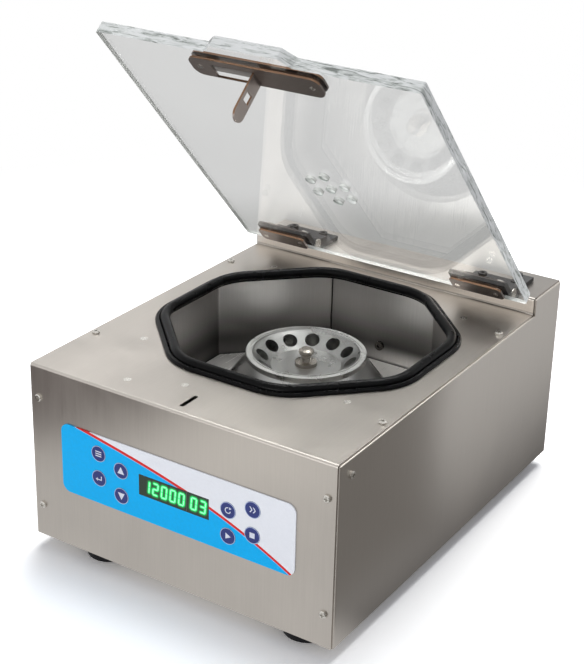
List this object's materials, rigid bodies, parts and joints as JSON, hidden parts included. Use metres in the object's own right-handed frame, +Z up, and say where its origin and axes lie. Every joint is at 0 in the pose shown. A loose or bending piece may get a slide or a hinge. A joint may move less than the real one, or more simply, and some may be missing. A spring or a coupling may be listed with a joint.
{
  "type": "hematocrit centrifuge",
  "caption": "Bench centrifuge: stainless cabinet, gasketed octagonal chamber, fixed-angle tube rotor, hinged clear lid with latch tongue, keypad and display.",
  "frame": {"origin": "on the bench under the middle of the object as it rests with the lid open", "axes": "+X to the right seen from the control panel, +Y to the back, +Z up"},
  "size_m": [0.2576, 0.335, 0.3783],
  "materials": {
    "stainless": "fine brushed satin",
    "liner_steel": "satin stainless",
    "rotor_metal": "bead-blasted satin",
    "plated_steel": "bright plated",
    "bronzed_steel": "bronze-tinted laser-cut plate",
    "hinge_black": "satin black",
    "clear_acrylic": "polished clear",
    "black_rubber": "matt",
    "panel_film": "printed film",
    "key_film": "printed navy film",
    "window_film": "dark filter",
    "led_body": "black epoxy",
    "board_green": "solder-masked laminate",
    "black_plastic": "moulded",
    "motor_paint": "semi-gloss grey",
    "zinc_steel": "zinc plated",
    "brass_pins": "nickel over brass",
    "copper_core": "laminated core"
  },
  "bodies": {
    "cabinet": {"base_tray": "stainless", "board_components": "black_plastic", "board_pillars": "zinc_steel", "cabinet_screws": "plated_steel", "chamber_floor": "liner_steel", "chamber_liner": "liner_steel", "control_panel": "panel_film", "deck_studs": "plated_steel", "display_modules": "led_body", "display_window": "window_film", "drive_board": "board_green", "fan_frame": "black_plastic", "fan_guard": "plated_steel", "feet": "black_rubber", "gasket": "black_rubber", "heat_sink": "hinge_black", "hinge_block_leaves": "hinge_black", "hinge_block_screws": "hinge_black", "hinge_pins": "plated_steel", "inlet_pins": "brass_pins", "key_board": "board_green", "latch_bracket": "zinc_steel", "latch_solenoid": "black_plastic", "lid_sensor": "black_plastic", "liner_brackets": "zinc_steel", "m3_screws": "plated_steel", "m4_nuts": "zinc_steel", "m4_screws": "plated_steel", "mains_inlet": "black_plastic", "motor": "motor_paint", "motor_isolators": "black_rubber", "motor_plate": "zinc_steel", "rear_panel": "stainless", "socket_screws": "plated_steel", "spindle_seal": "black_rubber", "switch_frame": "black_plastic", "top_cover": "stainless", "transformer": "copper_core"},
    "lid_assembly": {"lid": "clear_acrylic", "latch_plate": "bronzed_steel", "latch_backing_plate": "bronzed_steel", "lid_screws": "plated_steel", "hinge_clamp_plates": "bronzed_steel", "hinge_lid_leaves": "hinge_black", "hinge_adjusters": "hinge_black"},
    "rotor_assembly": {"rotor": "rotor_metal", "drive_spindle": "plated_steel"},
    "knob": {"rotor_knob": "rotor_metal"},
    "latch_bolt_body": {"latch_bolt": "plated_steel"},
    "fan_wheel": {"fan_rotor": "black_plastic"},
    "rocker": {"switch_rocker": "black_plastic"},
    "fuse_holder": {"fuse_drawer": "black_plastic"},
    "key_menu_body": {"key_menu": "key_film"},
    "key_enter_body": {"key_enter": "key_film"},
    "key_up_body": {"key_up": "key_film"},
    "key_down_body": {"key_down": "key_film"},
    "key_force_body": {"key_force": "key_film"},
    "key_pulse_body": {"key_pulse": "key_film"},
    "key_start_body": {"key_start": "key_film"},
    "key_stop_body": {"key_stop": "key_film"}
  },
  "joints": [
    {"name": "lid_hinge", "type": "hinge", "parent": "cabinet", "child": "lid_assembly", "pos_m": [0, 0.1153, 0.1675], "axis": [-1, 0, 0], "range_deg": [-47.5, 47.5]},
    {"name": "rotor_spin", "type": "hinge", "parent": "cabinet", "child": "rotor_assembly", "pos_m": [0, -0.004, 0.1292], "axis": [0, 0, 1], "continuous": true},
    {"name": "knob_turn", "type": "hinge", "parent": "rotor_assembly", "child": "knob", "pos_m": [0, -0.004, 0.1292], "axis": [0, 0, 1], "range_deg": [0, 720]},
    {"name": "latch_bolt_slide", "type": "slide", "parent": "cabinet", "child": "latch_bolt_body", "axis": [1, 0, 0], "range_m": [0, 0.009], "stiffness_N_per_m": 40},
    {"name": "fan_spin", "type": "hinge", "parent": "cabinet", "child": "fan_wheel", "pos_m": [-0.062, 0.1553, 0.062], "axis": [0, 1, 0], "continuous": true},
    {"name": "switch_rock", "type": "hinge", "parent": "cabinet", "child": "rocker", "pos_m": [0.066, 0.1603, 0.088], "axis": [1, 0, 0], "range_deg": [-18, 0]},
    {"name": "fuse_drawer_slide", "type": "slide", "parent": "cabinet", "child": "fuse_holder", "axis": [0, 1, 0], "range_m": [0, 0.016]},
    {"name": "key_menu_press", "type": "slide", "parent": "cabinet", "child": "key_menu_body", "axis": [0, 1, 0], "range_m": [0, 0.00035], "stiffness_N_per_m": 1000},
    {"name": "key_enter_press", "type": "slide", "parent": "cabinet", "child": "key_enter_body", "axis": [0, 1, 0], "range_m": [0, 0.00035], "stiffness_N_per_m": 1000},
    {"name": "key_up_press", "type": "slide", "parent": "cabinet", "child": "key_up_body", "axis": [0, 1, 0], "range_m": [0, 0.00035], "stiffness_N_per_m": 1000},
    {"name": "key_down_press", "type": "slide", "parent": "cabinet", "child": "key_down_body", "axis": [0, 1, 0], "range_m": [0, 0.00035], "stiffness_N_per_m": 1000},
    {"name": "key_force_press", "type": "slide", "parent": "cabinet", "child": "key_force_body", "axis": [0, 1, 0], "range_m": [0, 0.00035], "stiffness_N_per_m": 1000},
    {"name": "key_pulse_press", "type": "slide", "parent": "cabinet", "child": "key_pulse_body", "axis": [0, 1, 0], "range_m": [0, 0.00035], "stiffness_N_per_m": 1000},
    {"name": "key_start_press", "type": "slide", "parent": "cabinet", "child": "key_start_body", "axis": [0, 1, 0], "range_m": [0, 0.00035], "stiffness_N_per_m": 1000},
    {"name": "key_stop_press", "type": "slide", "parent": "cabinet", "child": "key_stop_body", "axis": [0, 1, 0], "range_m": [0, 0.00035], "stiffness_N_per_m": 1000}
  ]
}
